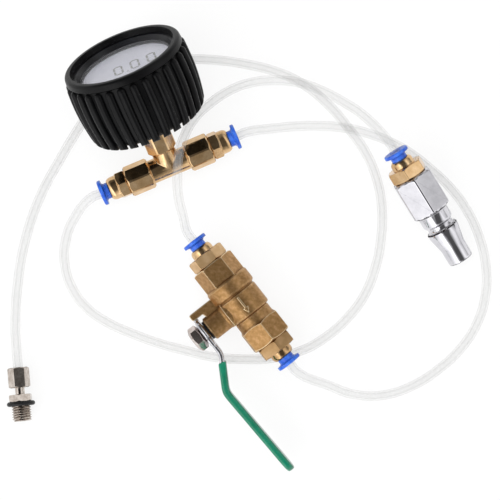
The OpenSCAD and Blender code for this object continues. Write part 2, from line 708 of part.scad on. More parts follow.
module valve_end_cap() {
    color("#a8843f") at_valve() difference() {
        union() {
            translate([cap_in, 0, 0]) along_x() cylinder(d = cap_thread_d, h = seam_at - cap_in + tiny);
            along_x() rotate_extrude() polygon([
                [0, seam_at], [neck_d / 2 - 0.3, seam_at], [neck_d / 2, seam_at + 0.4],
                [neck_d / 2, cap_hex_at - 0.6], [neck_d / 2 + 0.5, cap_hex_at + 0.4], [0, cap_hex_at + 0.4]]);
            translate([cap_hex_at, 0, 0]) along_x()
                hexagon(cap_af, valve_out - cap_hex_at, cap_hex_turn, 0.8);
        }
        translate([cap_in - 1, 0, 0]) along_x()
            cylinder(d = seat_d + 2 * seat_gap, h = seat_back - cap_in + 1);
        along_x() cylinder(d = ball_bore, h = valve_out);
        translate([valve_out - port_depth, 0, 0]) along_x()
            cylinder(d = big_thread_d + 2 * seat_gap, h = port_depth + 1);
    }
}

module valve_ball() {
    color("#d2d2d6") at_valve() difference() {
        sphere(d = ball_d);
        translate([-ball_d, 0, 0]) along_x() cylinder(d = ball_bore, h = 2 * ball_d);
        translate([-blade_t / 2 - turn_gap, -ball_d, blade_in - turn_gap])
            cube([blade_t + 2 * turn_gap, 2 * ball_d, ball_d]);
    }
}

// A soft seat, hollowed to the ball
module ball_seat(side) {
    color("#f0f0ec") at_valve() rotate([0, side * 90, 0]) difference() {
        translate([0, 0, seat_front]) ring(seat_d, ball_bore + 0.4, seat_back - seat_front);
        sphere(d = ball_d + 2 * turn_gap);
    }
}

module valve_stem() {
    color("#c0c0c4") at_valve() union() {
        translate([-blade_t / 2, -blade_w / 2, blade_in])
            cube([blade_t, blade_w, stem_collar_at - blade_in + tiny]);
        translate([0, 0, stem_collar_at]) cylinder(d = stem_collar_d, h = stem_collar_t);
        translate([0, 0, stem_collar_at]) cylinder(d = stem_d, h = lever_z - stem_collar_at);
        translate([0, 0, lever_z - tiny]) intersection() {
            cylinder(d = stem_d, h = lever_t + tiny);
            translate([-stem_d, -stem_flat / 2, 0]) cube([2 * stem_d, stem_flat, lever_t + tiny]);
        }
        translate([0, 0, lever_z]) cylinder(d = stem_flat - 0.1, h = lever_t + stem_hold);
        translate([0, 0, nut_z]) cylinder(d = stem_thread_d - 2 * seat_gap, h = stem_hold);
    }
}

module thrust_washer() {
    color("#f0f0ec") at_valve() translate([0, 0, washer_at])
        ring(stem_collar_d, stem_d + 2 * turn_gap, washer_t - seat_gap);
}

module stem_packing() {
    color("#26262a") at_valve() difference() {
        union() {
            translate([0, 0, packing_at]) cylinder(d = packing_d, h = tower_top - packing_at + tiny);
            translate([0, 0, tower_top]) cylinder(d = gland_d, h = gland_t);
        }
        translate([0, 0, packing_at - 1]) cylinder(d = stem_d + 2 * turn_gap, h = tower_top);
    }
}

// Centre line of the lever's strip from a start to the tip, as [x, height, slope]
arc_z = bend_r * (1 - cos(step_angle));
ramp_len = (lever_rise - 2 * arc_z) / sin(step_angle);
ramp_at = [bend_at + arc_x, lever_mid + arc_z];
ramp_end = ramp_at + ramp_len * [cos(step_angle), sin(step_angle)];
bend_mid = ramp_end + bend_r * [sin(step_angle), -cos(step_angle)];
bend_steps = 6;
function lever_line(start, tip) = let (drop = (tip - bend_mid.x) * tan(handle_lean)) concat(
    start < bend_at
        ? concat([[start, lever_mid, 0]], [for (i = [0:bend_steps]) let (a = step_angle * i / bend_steps)
              [bend_at + bend_r * sin(a), lever_mid + bend_r * (1 - cos(a)), a]])
        : [[start, ramp_at.y + (start - ramp_at.x) * tan(step_angle), step_angle]],
    [for (i = [0:bend_steps]) let (a = step_angle - (step_angle + handle_lean) * i / bend_steps)
        [bend_mid.x - bend_r * sin(a), bend_mid.y + bend_r * cos(a), a]],
    [[tip, bend_mid.y + bend_r - drop, -handle_lean]]);

// The strip seen from its edge, and its outline seen along the stem
module strip(start, tip, t) {
    line = lever_line(start, tip);
    polygon(concat([for (p = line) [p.x - t / 2 * sin(p.z), p.y + t / 2 * cos(p.z)]],
                   [for (i = [len(line) - 1:-1:0]) let (p = line[i])
                       [p.x + t / 2 * sin(p.z), p.y - t / 2 * cos(p.z)]]));
}

module edge_on(w) translate([0, w / 2, 0]) rotate([90, 0, 0]) linear_extrude(w) children();

module lever() {
    high = lever_mid + lever_rise + lever_t;
    color("#c8c8cc") at_valve() difference() {
        intersection() {
            edge_on(4 * arm_w) strip(-ear_out, lever_len, lever_t);
            linear_extrude(high) lever_plan();
        }
        intersection() {
            cylinder(d = stem_d + 2 * seat_gap, h = high);
            translate([-stem_d, -stem_flat / 2 - seat_gap, 0])
                cube([2 * stem_d, stem_flat + 2 * seat_gap, nut_z]);
        }
    }
}

// The hub, the two stop ears a quarter turn apart, and the arm with a round tip
module lever_plan() {
    edge = lug_w / 2 + stop_gap;
    circle(d = hub_d);
    translate([-ear_out, -edge - ear_len]) square([ear_out, ear_len]);
    translate([edge, 0]) square([ear_len, ear_out]);
    translate([0, -arm_w / 2]) square([lever_len - arm_w / 2, arm_w]);
    translate([lever_len - arm_w / 2, 0]) circle(d = arm_w);
}

module lever_sleeve() {
    high = lever_mid + lever_rise + lever_t + 2 * sleeve_t;
    tip = lever_len + sleeve_t;
    near_w = arm_w + 2 * sleeve_t;
    color("#14946a") at_valve() difference() {
        intersection() {
            edge_on(4 * arm_w) strip(lever_near, tip, lever_t + 2 * sleeve_t);
            linear_extrude(high) union() {
                polygon([[lever_near, -near_w / 2], [ramp_end.x, -near_w / 2],
                         [tip - sleeve_w / 2, -sleeve_w / 2], [tip - sleeve_w / 2, sleeve_w / 2],
                         [ramp_end.x, near_w / 2], [lever_near, near_w / 2]]);
                translate([tip - sleeve_w / 2, 0]) circle(d = sleeve_w);
            }
        }
        intersection() {
            edge_on(arm_w + 2 * seat_gap) strip(0, lever_len + seat_gap, lever_t + 2 * seat_gap);
            linear_extrude(high) union() {
                translate([0, -arm_w / 2 - seat_gap]) square([lever_len - arm_w / 2, arm_w + 2 * seat_gap]);
                translate([lever_len - arm_w / 2, 0]) circle(d = arm_w + 2 * seat_gap);
            }
        }
    }
}

module lever_nut() {
    color("#c8c8cc") at_valve() translate([0, 0, nut_z]) difference() {
        hexagon(nut_af, nut_h, 10, nut_chamfer);
        translate([0, 0, -1]) cylinder(d = stem_thread_d, h = nut_h + 2);
    }
}

module air_plug() {
    color("#d8d8dc") at_plug() difference() {
        union() {
            along_x() hexagon(plug_af, plug_hex_len, plug_hex_turn, plug_chamfer);
            along_x() rotate_extrude() polygon([
                [0, plug_hex_len - 1], [shank_d / 2, plug_hex_len - 1], [shank_d / 2, shank_end - 0.5],
                [shank_d / 2 - 0.5, shank_end], [groove_d / 2, shank_end + 0.3],
                [groove_d / 2, groove_end - 0.4], [shoulder_d / 2 - 0.3, groove_end],
                [shoulder_d / 2, groove_end + 0.4], [shoulder_d / 2, groove_end + 2],
                [nose_d / 2, nose_at], [nose_d / 2, plug_len - tip_chamfer],
                [nose_d / 2 - tip_chamfer, plug_len], [0, plug_len]]);
        }
        translate([-1, 0, 0]) along_x() cylinder(d = plug_bore, h = plug_len + 2);
        translate([-1, 0, 0]) along_x() cylinder(d = big_thread_d + 2 * seat_gap, h = port_depth + 1);
    }
}

module strut_body() {
    slit = 0.6;
    color("#cfcfd2") at_strut() difference() {
        union() {
            along_x() rotate_extrude() polygon([
                [0, strut_stop], [strut_collar_d / 2, strut_stop], [strut_collar_d / 2, strut_collar_end],
                [strut_neck_d / 2, strut_collar_end + 0.3], [strut_neck_d / 2, strut_body_at + 0.2],
                [strut_body_af / 2 - 0.4, strut_body_at + 0.2], [strut_body_af / 2 - 0.4, strut_ring_at],
                [ring_r - strut_ring_t / 2 - seat_gap, strut_ring_at],
                [ring_r - strut_ring_t / 2 - seat_gap, strut_thread_at],
                [strut_thread_d / 2, strut_thread_at], [strut_thread_d / 2, strut_len - 0.5],
                [strut_thread_d / 2 - 0.6, strut_len], [0, strut_len]]);
            translate([strut_body_at, 0, 0]) along_x() hexagon(strut_body_af, strut_body_len, 0, 0.3);
        }
        translate([strut_stop - 1, 0, 0]) along_x() cylinder(d = flow_d, h = strut_len);
        translate([strut_neck_at + 0.5, -slit / 2, 0]) cube([strut_neck_len - 0.8, slit, strut_neck_d]);
    }
}

module strut_nut() {
    color("#cfcfd2") at_strut() along_x() difference() {
        hexagon(strut_nut_af, strut_nut_len, 30 - strut_roll, 0.4);
        translate([0, 0, -1]) cylinder(d = collet_bore, h = strut_nut_len);
        translate([0, 0, strut_lip]) cylinder(d = strut_collar_d + 2 * seat_gap, h = strut_nut_len);
    }
}

module strut_clamp_ring() {
    color("#b08a45") at_strut() along_x() translate([0, 0, strut_lip + seat_gap]) difference() {
        cylinder(d1 = strut_collar_d - 1, d2 = strut_collar_d, h = strut_stop - strut_lip - 2 * seat_gap);
        translate([0, 0, -1]) cylinder(d = tube_d + 2 * seal_gap, h = strut_stop);
    }
}

module strut_o_ring() {
    color("#1a1a1a") at_strut() along_x() translate([0, 0, ring_mid]) rotate_extrude()
        translate([ring_r, 0]) circle(d = strut_ring_t);
}

// A hose swept along its route, each ring square to the route there
tube_sides = 10;
function unit(v) = v / norm(v);
function heading(path, i) = unit(path[min(i + 1, len(path) - 1)] - path[max(i - 1, 0)]);
module hose(path) {
    n = tube_sides;
    last = len(path) - 1;
    points = [for (i = [0:last]) let (d = heading(path, i), u = unit(cross(d, [0, 0, 1])), v = cross(u, d))
        for (k = [0:n - 1]) path[i] - middle + tube_d / 2 * (cos(360 * k / n) * u + sin(360 * k / n) * v)];
    sides = [for (i = [0:last - 1], k = [0:n - 1]) let (a = i * n + k, b = i * n + (k + 1) % n)
        each [[a, a + n, b], [b, a + n, b + n]]];
    ends = [for (k = [1:n - 2]) each [[0, k, k + 1], [last * n, last * n + k + 1, last * n + k]]];
    color("#eceee8", 0.7) polyhedron(points, concat(sides, ends));
}

gauge_boot();
gauge_case();
gauge_bezel();
gauge_lens();
lens_gasket();
display();
circuit_board();
coin_cell();
pressure_sensor();
gauge_stem();
stem_nut();
tee_body();
small_push_in("tee_left", 0);  // tee_left_fitting
small_push_in("tee_right", 20);  // tee_right_fitting
big_push_in("inlet", -7);  // inlet_fitting
big_push_in("outlet", 26);  // outlet_fitting
big_push_in("plug", -14);  // plug_fitting
release_collet("tee_left");  // tee_left_collet
release_collet("tee_right");  // tee_right_collet
release_collet("inlet");  // inlet_collet
release_collet("outlet");  // outlet_collet
release_collet("plug");  // plug_collet
grip_ring("tee_left");  // tee_left_grip_ring
grip_ring("tee_right");  // tee_right_grip_ring
grip_ring("inlet");  // inlet_grip_ring
grip_ring("outlet");  // outlet_grip_ring
grip_ring("plug");  // plug_grip_ring
tube_seal("tee_left");  // tee_left_seal
tube_seal("tee_right");  // tee_right_seal
tube_seal("inlet");  // inlet_seal
tube_seal("outlet");  // outlet_seal
tube_seal("plug");  // plug_seal
valve_body();
valve_end_cap();
valve_ball();
ball_seat(-1);  // inlet_seat
ball_seat(1);  // outlet_seat
valve_stem();
thrust_washer();
stem_packing();
lever();
lever_sleeve();
lever_nut();
air_plug();
strut_body();
strut_nut();
strut_clamp_ring();
strut_o_ring();
hose(supply_route);  // supply_tube
hose(test_route);  // test_tube
hose(link_route);  // link_tube
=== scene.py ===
import math
import bpy
from mathutils import Matrix, Vector


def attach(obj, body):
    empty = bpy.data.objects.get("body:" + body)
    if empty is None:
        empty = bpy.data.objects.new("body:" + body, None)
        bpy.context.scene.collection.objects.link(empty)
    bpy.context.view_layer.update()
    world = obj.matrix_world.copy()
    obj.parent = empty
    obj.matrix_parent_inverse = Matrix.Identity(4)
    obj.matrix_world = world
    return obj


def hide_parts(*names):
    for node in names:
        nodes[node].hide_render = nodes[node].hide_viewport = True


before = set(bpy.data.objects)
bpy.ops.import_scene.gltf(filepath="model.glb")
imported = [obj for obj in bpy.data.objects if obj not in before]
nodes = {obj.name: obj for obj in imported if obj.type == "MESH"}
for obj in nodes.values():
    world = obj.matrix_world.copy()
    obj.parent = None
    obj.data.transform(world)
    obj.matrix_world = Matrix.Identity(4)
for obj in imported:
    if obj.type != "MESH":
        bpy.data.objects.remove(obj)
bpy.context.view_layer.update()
scene = bpy.context.scene
scene.view_settings.view_transform = "Standard"
mm = 0.001
mergeGap = 0.01 * mm  # points of a copied node this near are one
smoothAngle = math.radians(32)  # flatter corners than this are shaded round
noiseSpan = {"From Min": 0.3, "From Max": 0.7}  # where most values of a noise lie
tintSpan = (0.32, 0.68)  # values of a noise that get a finish's darkest and lightest colour
nearlyAll = 0.9  # share of a length or a direction that counts as the whole


# small helpers
def clearSelection():
    if bpy.context.object and bpy.context.object.mode != "OBJECT":
        bpy.ops.object.mode_set(mode="OBJECT")
    bpy.ops.object.select_all(action="DESELECT")


def makeActive(piece):
    clearSelection()
    piece.select_set(True)
    bpy.context.view_layer.objects.active = piece


# a copy of a CAD node's mesh with its loose triangles joined, left in edit mode and selected
def copyNode(pieceName, nodeName):
    piece = bpy.data.objects.new(pieceName, nodes[nodeName].data.copy())
    scene.collection.objects.link(piece)
    makeActive(piece)
    bpy.ops.mesh.customdata_custom_splitnormals_clear()
    bpy.ops.object.mode_set(mode="EDIT")
    bpy.ops.mesh.select_all(action="SELECT")
    bpy.ops.mesh.remove_doubles(threshold=mergeGap)
    return piece


def hexColour(code):
    channels = [int(code[i:i + 2], 16) / 255 for i in (1, 3, 5)]
    return tuple(c / 12.92 if c <= 0.04045 else ((c + 0.055) / 1.055) ** 2.4 for c in channels) + (1.0,)


def addNode(tree, kind, inputs=None, **settings):
    node = tree.nodes.new(kind)
    for key, value in settings.items():
        setattr(node, key, value)
    for socket, value in (inputs or {}).items():
        if isinstance(value, bpy.types.NodeSocket):
            tree.links.new(value, node.inputs[socket])
        else:
            node.inputs[socket].default_value = value
    return node


# the place and turn of each assembly in the shared frame
def assemblyFrame(alongX, alongZ, origin):
    x, z = Vector(alongX).normalized(), Vector(alongZ).normalized()
    y = z.cross(x)
    turn = Matrix((x, y, z)).transposed().to_4x4()
    return Matrix.Translation(Vector(origin)) @ turn


teeFrame = assemblyFrame((0.921185, 0.389124, 0), (-0.341969, 0.809553, 0.477159), (-0.0065, 0.03465, 0.009897))
valveFrame = assemblyFrame((0.617036, -0.786935, 0), (-0.786935, -0.617036, 0), (0.0234, -0.02155, 0.0097))
strutFrame = assemblyFrame((0.995274, 0.097589, 0), (0.097101, -0.99031, 0.09929), (-0.0686, -0.04805, 0.004262))

# camera, straight above as in the photograph
cameraPlace = {"location": (0.0263, 0.00005, 0.700), "lens": 122.45, "sensor": 36.0}
clearSelection()
bpy.ops.object.camera_add(location=cameraPlace["location"], rotation=(0, 0, 0))
camera = bpy.context.object
camera.name = "camera"
camera.data.lens = cameraPlace["lens"]
camera.data.sensor_width = cameraPlace["sensor"]
scene.camera = camera
print("camera placed")

# hoses, 4 mm outside and 2.5 mm inside
hoseSize = {"outside": 4 * mm, "wall": 0.75 * mm, "inFitting": -2.45 * mm, "collet": 11.8 * mm, "straight": 15.8 * mm,
            "atStrut": (-8 * mm, 0, 4.7 * mm), "steps": 6, "roundness": 5}
ports = {  # seat of each push-in fitting and the way out of it
    "teeLeft": ((-0.023266, 0.027568, 0.009897), (-0.921185, -0.389124, 0)),
    "teeRight": ((0.010266, 0.041732, 0.009897), (0.921185, 0.389124, 0)),
    "inlet": ((0.010689, -0.005339, 0.0097), (-0.617036, 0.786935, 0)),
    "outlet": ((0.035247, -0.036659, 0.0097), (0.617036, -0.786935, 0)),
    "plug": ((0.0911, 0.02995, 0.011702), (-0.530256, 0.832334, 0.161395)),
}
tableShift = Vector((-3.1, 1.25, 0))  # route points are measured on the table


def portPoints(name):
    seat, out = Vector(ports[name][0]), Vector(ports[name][1])
    return [seat + out * hoseSize[k] for k in ("inFitting", "collet", "straight")]


def strutPoints():
    return [strutFrame @ Vector((0, 0, reach)) for reach in hoseSize["atStrut"]]


hoses = {
    "supplyHose": {
        "node": "supply_tube", "start": portPoints("inlet"), "end": portPoints("plug")[::-1],
        "points": [(2.5, 12, 13.5), (0.5, 21, 16), (0.3, 30, 17.2), (1, 38, 17.2), (3.2, 45, 16), (7, 52, 13.5),
                   (13, 58, 10.8), (20, 63, 8.8), (28, 66.5, 7.4), (38.5, 68, 6.8), (49.5, 67, 6.8), (58, 64, 7),
                   (67.5, 59, 8), (76, 53, 10)],
        "farEnd": "plug", "goesWith": ("air_plug", "plug_fitting", "plug_collet", "plug_grip_ring", "plug_seal")},
    "testHose": {
        "node": "test_tube", "start": portPoints("teeLeft"), "end": strutPoints(),
        "points": [(-42, 12.5, 4.5), (-46, 3.5, 2.5), (-46.5, -8, 2), (-43, -18, 2), (-37, -25.5, 2), (-29, -31, 2),
                   (-19, -35.5, 2), (-8, -39.5, 2), (3, -42.5, 2), (14, -45, 2), (26, -46, 2), (38, -45.6, 2),
                   (50, -42.7, 2), (60.5, -37, 2), (69.5, -29, 2), (76.5, -19.5, 2), (81, -8, 2), (83.2, 4, 2),
                   (83.5, 16, 2), (81.5, 27.5, 2), (77, 38.5, 2), (70, 48.5, 2), (61.5, 58.5, 2), (51, 67, 2),
                   (40, 72, 2), (27, 75.2, 2), (15, 76.8, 2), (3, 77.1, 2), (-9, 76.3, 2), (-20.5, 73.6, 2),
                   (-31, 65.4, 2), (-38.6, 52.6, 2), (-48, 37, 2), (-57, 20, 2), (-63, 2, 2), (-66, -16, 2),
                   (-66.9, -33, 2.2)],
        "farEnd": "fitting", "goesWith": ("strutFitting", "strut_nut", "strut_clamp_ring", "strut_o_ring")},
    "linkHose": {
        "node": "link_tube", "start": portPoints("teeRight"), "end": portPoints("outlet")[::-1],
        "points": [(38, 48.2, 8), (48, 49.2, 7), (58, 49.4, 6.8), (68, 48.6, 6.8), (77, 46.6, 6), (86, 43.4, 4),
                   (94.5, 39, 2.4), (103, 32.5, 2), (111.5, 24.5, 2), (118.5, 15, 2), (123.5, 4, 2), (126.2, -8, 2),
                   (126, -20, 2), (122.5, -31.5, 2), (116, -41.5, 2), (107, -50, 2), (96, -57, 2), (84, -60.8, 2),
                   (72, -60.4, 2.8), (61.5, -56.5, 5)],
        "farEnd": "object", "goesWith": ()},
}


def layHose(name, facts):
    route = facts["start"] + [(Vector(p) + tableShift) * mm for p in facts["points"]] + facts["end"]
    line = bpy.data.curves.new(name, "CURVE")
    line.dimensions = "3D"
    line.resolution_u = hoseSize["steps"]
    line.bevel_depth = hoseSize["outside"] / 2
    line.bevel_resolution = hoseSize["roundness"]
    spline = line.splines.new("BEZIER")
    spline.bezier_points.add(len(route) - 1)
    for point, place in zip(spline.bezier_points, route):
        point.co = place
        point.handle_left_type = point.handle_right_type = "AUTO"
    hose = bpy.data.objects.new(name, line)
    scene.collection.objects.link(hose)
    wall = hose.modifiers.new("wall", "SOLIDIFY")  # a real bore, seen through the clear wall
    wall.thickness = hoseSize["wall"]
    wall.offset = -1
    bpy.context.view_layer.update()
    facts["length"] = spline.calc_length()
    facts["exit"] = route[0]
    facts["piece"] = hose
    print(name, "laid,", round(facts["length"] / mm, 1), "mm")


for hoseName, hoseFacts in hoses.items():
    layHose(hoseName, hoseFacts)

# materials, each scale worked out from a size in millimetres


def startMaterial(name, colour):
    material = bpy.data.materials.new(name)
    material.use_nodes = True
    material.diffuse_color = hexColour(colour)
    tree = material.node_tree
    shader = tree.nodes["Principled BSDF"]
    return material, tree, shader


def perMm(size):
    return 1 / (size * mm)  # cells of this many millimetres, in object units


# colours from dark to light, patch and grain in mm, roughness low and high, bump height and edge radius in mm,
# wear and painted light with its reach in mm (a painted highlight on corners, painted shade in grooves), drawn for a
# zone of bar stock that turning left alone
def makeFinish(name, look):
    material, tree, shader = startMaterial(name, look["colours"][1])
    place = addNode(tree, "ShaderNodeTexCoord")
    patch = addNode(tree, "ShaderNodeTexNoise", {"Vector": place.outputs["Object"], "Scale": perMm(look["patch"]),
                                                 "Detail": 4.0, "Roughness": 0.55})
    tint = addNode(tree, "ShaderNodeValToRGB", {"Fac": patch.outputs["Fac"]})
    stops = tint.color_ramp.elements
    stops[0].position, stops[0].color = tintSpan[0], hexColour(look["colours"][0])
    stops[1].position, stops[1].color = tintSpan[1], hexColour(look["colours"][2])
    stops.new(0.5).color = hexColour(look["colours"][1])
    grain = addNode(tree, "ShaderNodeTexNoise", {"Vector": place.outputs["Object"], "Scale": perMm(look["grain"]),
                                                 "Detail": 3.0, "Roughness": 0.6})
    shine = addNode(tree, "ShaderNodeMapRange", {"Value": grain.outputs["Fac"], "To Min": look["roughness"][0],
                                                 "To Max": look["roughness"][1], **noiseSpan})
    relief = addNode(tree, "ShaderNodeBump", {"Height": grain.outputs["Fac"], "Strength": look.get("strength", 0.5),
                                              "Distance": look["bump"] * mm})
    if "edge" in look:
        soft = addNode(tree, "ShaderNodeBevel", {"Radius": look["edge"] * mm}, samples=8)
        tree.links.new(soft.outputs["Normal"], relief.inputs["Normal"])
    colour = tint.outputs["Color"]
    for spot in look.get("wearAndPaintedLight", ()):  # corners lightened and grooves darkened by how near other faces are: painted highlights and painted shade, partly real wear
        near = addNode(tree, "ShaderNodeAmbientOcclusion", {"Distance": spot["reach"] * mm}, inside=spot["corner"],
                       only_local=True, samples=8)
        share = addNode(tree, "ShaderNodeMapRange", {"Value": near.outputs["AO"], "From Min": spot["open"],
                                                     "From Max": spot["closed"], "To Max": spot["share"]})
        lightAndWearMix = addNode(tree, "ShaderNodeMix", {0: share.outputs["Result"], 6: colour, 7: hexColour(spot["colour"])},
                       data_type="RGBA")
        colour = lightAndWearMix.outputs[2]
    rough = shine.outputs["Result"]
    if "drawn" in look:  # the hexagon keeps the duller skin of the drawn bar, up to where turning begins
        drawn = look["drawn"]
        along = addNode(tree, "ShaderNodeVectorMath", {0: place.outputs["Object"], 1: drawn["way"]},
                        operation="DOT_PRODUCT")
        onBar = addNode(tree, "ShaderNodeMapRange", {"Value": along.outputs["Value"],
                                                     "From Min": drawn["end"] + drawn["blend"],
                                                     "From Max": drawn["end"] - drawn["blend"],
                                                     "To Max": drawn["duller"]})
        rough = addNode(tree, "ShaderNodeMath", {0: rough, 1: onBar.outputs["Result"]}, operation="ADD").outputs[0]
    tree.links.new(colour, shader.inputs["Base Color"])
    tree.links.new(rough, shader.inputs["Roughness"])
    tree.links.new(relief.outputs["Normal"], shader.inputs["Normal"])
    for socket, value in look.get("shader", {}).items():
        shader.inputs[socket].default_value = value
    return material


finishes = {
    # moulded rubber: near black, a soft sheen and a fine grain
    "mouldedRubber": {"colours": ("#040405", "#070708", "#0c0c0d"), "patch": 9, "grain": 0.45,
                      "roughness": (0.3, 0.44), "bump": 0.05, "edge": 0.3, "shader": {"Specular IOR Level": 0.16}},
    # nitrile rubber: a lighter black, a little rougher
    "nitrileRubber": {"colours": ("#0c0c0d", "#121213", "#1a1a1c"), "patch": 3, "grain": 0.3,
                      "roughness": (0.34, 0.5), "bump": 0.03, "edge": 0.1, "shader": {"Specular IOR Level": 0.3}},
    # moulded ABS: black, semi-gloss
    "mouldedAbs": {"colours": ("#0c0c0e", "#131316", "#1b1c20"), "patch": 6, "grain": 0.35, "roughness": (0.3, 0.44),
                   "bump": 0.03, "edge": 0.2, "shader": {"Specular IOR Level": 0.3}},
    # hot-forged brass, tumbled: brown gold with a fine pitted skin; its corners get a painted highlight over the
    # rubbing of the tumbling, its grooves painted shade over a little tarnish
    "forgedBrass": {"colours": ("#a07a4e", "#b28a5a", "#c59c6e"), "patch": 1.6, "grain": 0.5,
                    "roughness": (0.4, 0.54), "bump": 0.09, "strength": 0.7, "edge": 0.5, "shader": {"Metallic": 1.0},
                    # painted shade in the grooves, partly tarnish
                    "wearAndPaintedLight": ({"corner": False, "reach": 1.4, "open": 0.85, "closed": 0.45, "share": 0.75,
                              "colour": "#5a4022"},
                             # painted highlight on the corners, partly rubbed brass
                             {"corner": True, "reach": 0.55, "open": 0.95, "closed": 0.7, "share": 0.9,
                              "colour": "#f7e2ba"})},
    # turned brass bar: brighter gold, smooth
    "turnedBrass": {"colours": ("#cba678", "#d8b486", "#e5c499"), "patch": 4, "grain": 0.5, "roughness": (0.13, 0.2),
                    "bump": 0.003, "shader": {"Metallic": 1.0}},
    # chrome plating on turned steel: a near mirror with faint smears, with painted shade as a dark line in its
    # grooves
    "chromePlate": {"colours": ("#c8c7cc", "#d4d3d8", "#dfdee2"), "patch": 7, "grain": 0.8, "roughness": (0.06, 0.12),
                    "bump": 0.004, "shader": {"Metallic": 1.0},
                    "wearAndPaintedLight": ({"corner": False, "reach": 2.2, "open": 0.9, "closed": 0.5, "share": 0.6,
                              "colour": "#3a322f"},)},
    # nickel plating: warm grey white, less sharp than chrome, with painted shade at the bottom of the thread
    "nickelPlate": {"colours": ("#aea39a", "#c3b9b0", "#d6cdc5"), "patch": 2, "grain": 0.4, "roughness": (0.12, 0.22),
                    "bump": 0.006, "shader": {"Metallic": 1.0},
                    "wearAndPaintedLight": ({"corner": False, "reach": 0.6, "open": 0.85, "closed": 0.5, "share": 0.45,
                              "colour": "#453d37"},)},
    # zinc plated steel strip: cool grey, softly clouded
    "zincSteel": {"colours": ("#b4b4b8", "#c9c9cd", "#dcdce0"), "patch": 4, "grain": 0.6, "roughness": (0.2, 0.3),
                  "bump": 0.005, "shader": {"Metallic": 1.0}},
    # zinc plated nut: brighter, from a barrel, with a warm tint that paints in the brown reflection of the brass
    # around it
    "zincNut": {"colours": ("#b5a8a1", "#cabeb8", "#ddd4cf"), "patch": 4, "grain": 0.6, "roughness": (0.14, 0.24),
                "bump": 0.005, "shader": {"Metallic": 1.0}},
    # spring steel: grey, bright
    "springSteel": {"colours": ("#a2a3a8", "#b8b9be", "#cbccd0"), "patch": 2, "grain": 0.3, "roughness": (0.2, 0.34),
                    "bump": 0.01, "shader": {"Metallic": 1.0}},
    # moulded acetal: solid blue, waxy
    "mouldedAcetal": {"colours": ("#1f4eb6", "#2a5fcc", "#3f77dc"), "patch": 3, "grain": 0.4,
                      "roughness": (0.32, 0.46), "bump": 0.02, "edge": 0.2,
                      "shader": {"Subsurface Weight": 0.08, "Subsurface Scale": 0.0006}},
    # dipped vinyl: soft green skin, glossy, with a slight orange peel
    "dippedVinyl": {"colours": ("#0a6a4e", "#0b7256", "#127c5f"), "patch": 8, "grain": 0.9, "roughness": (0.16, 0.24),
                    "bump": 0.012, "shader": {"Subsurface Weight": 0.05, "Subsurface Scale": 0.0008}},
    # turned PTFE: white and waxy
    "turnedPtfe": {"colours": ("#dedfda", "#eaebe6", "#f2f2ee"), "patch": 2, "grain": 0.3, "roughness": (0.36, 0.5),
                   "bump": 0.02, "edge": 0.1},
    # glass-fibre board with green resist: faintly mottled under gloss
    "boardLaminate": {"colours": ("#1d4d32", "#27613f", "#33724c"), "patch": 2, "grain": 0.5,
                      "roughness": (0.25, 0.4), "bump": 0.03},
    # nickel coated cell can: bright, a little uneven
    "cellCan": {"colours": ("#b9babd", "#cbccd0", "#dadbde"), "patch": 4, "grain": 0.5, "roughness": (0.18, 0.32),
                "bump": 0.01, "shader": {"Metallic": 1.0}},
    # liquid crystal: grey segments
    "crystalOn": {"colours": ("#77776f", "#80807a", "#8b8b86"), "patch": 3, "grain": 0.4, "roughness": (0.4, 0.55),
                  "bump": 0.005},
}
materials = {name: makeFinish(name, look) for name, look in finishes.items()}


# clear polyurethane hose: extruded, milky, denser to the eye at its edges, where more wall is looked through
hoseLook = {"colours": ("#c2c2c1", "#cacac9"), "span": (0.3, 0.7), "patch": 24, "grain": 2.5,
            "roughness": (0.2, 0.28), "face": 0.095, "edge": 0.25, "blend": 0.35,
            "shader": {"IOR": 1.5, "Specular IOR Level": 0.35}}


def makeHoseMaterial(look):
    material, tree, shader = startMaterial("clearPolyurethane", look["colours"][1])
    place = addNode(tree, "ShaderNodeTexCoord")
    haze = addNode(tree, "ShaderNodeTexNoise", {"Vector": place.outputs["Object"], "Scale": perMm(look["patch"]),
                                                "Detail": 3.0})
    tint = addNode(tree, "ShaderNodeValToRGB", {"Fac": haze.outputs["Fac"]})
    stops = tint.color_ramp.elements
    stops[0].position, stops[0].color = look["span"][0], hexColour(look["colours"][0])
    stops[1].position, stops[1].color = look["span"][1], hexColour(look["colours"][1])
    skin = addNode(tree, "ShaderNodeTexNoise", {"Vector": place.outputs["Object"], "Scale": perMm(look["grain"]),
                                                "Detail": 2.0})
    shine = addNode(tree, "ShaderNodeMapRange", {"Value": skin.outputs["Fac"], "To Min": look["roughness"][0],
                                                 "To Max": look["roughness"][1], **noiseSpan})
    rim = addNode(tree, "ShaderNodeLayerWeight", {"Blend": look["blend"]})
    density = addNode(tree, "ShaderNodeMapRange", {"Value": rim.outputs["Facing"], "To Min": look["face"],
                                                   "To Max": look["edge"]})
    tree.links.new(tint.outputs["Color"], shader.inputs["Base Color"])
    tree.links.new(shine.outputs["Result"], shader.inputs["Roughness"])
    tree.links.new(density.outputs["Result"], shader.inputs["Alpha"])
    for socket, value in look["shader"].items():
        shader.inputs[socket].default_value = value
    return material


# clear acrylic window: almost nothing but its gloss
lensLook = {"colours": ("#e6e7ee", "#f4f5f8"), "patch": 12, "roughness": (0.04, 0.12),
            "shader": {"Alpha": 0.14, "IOR": 1.49}}


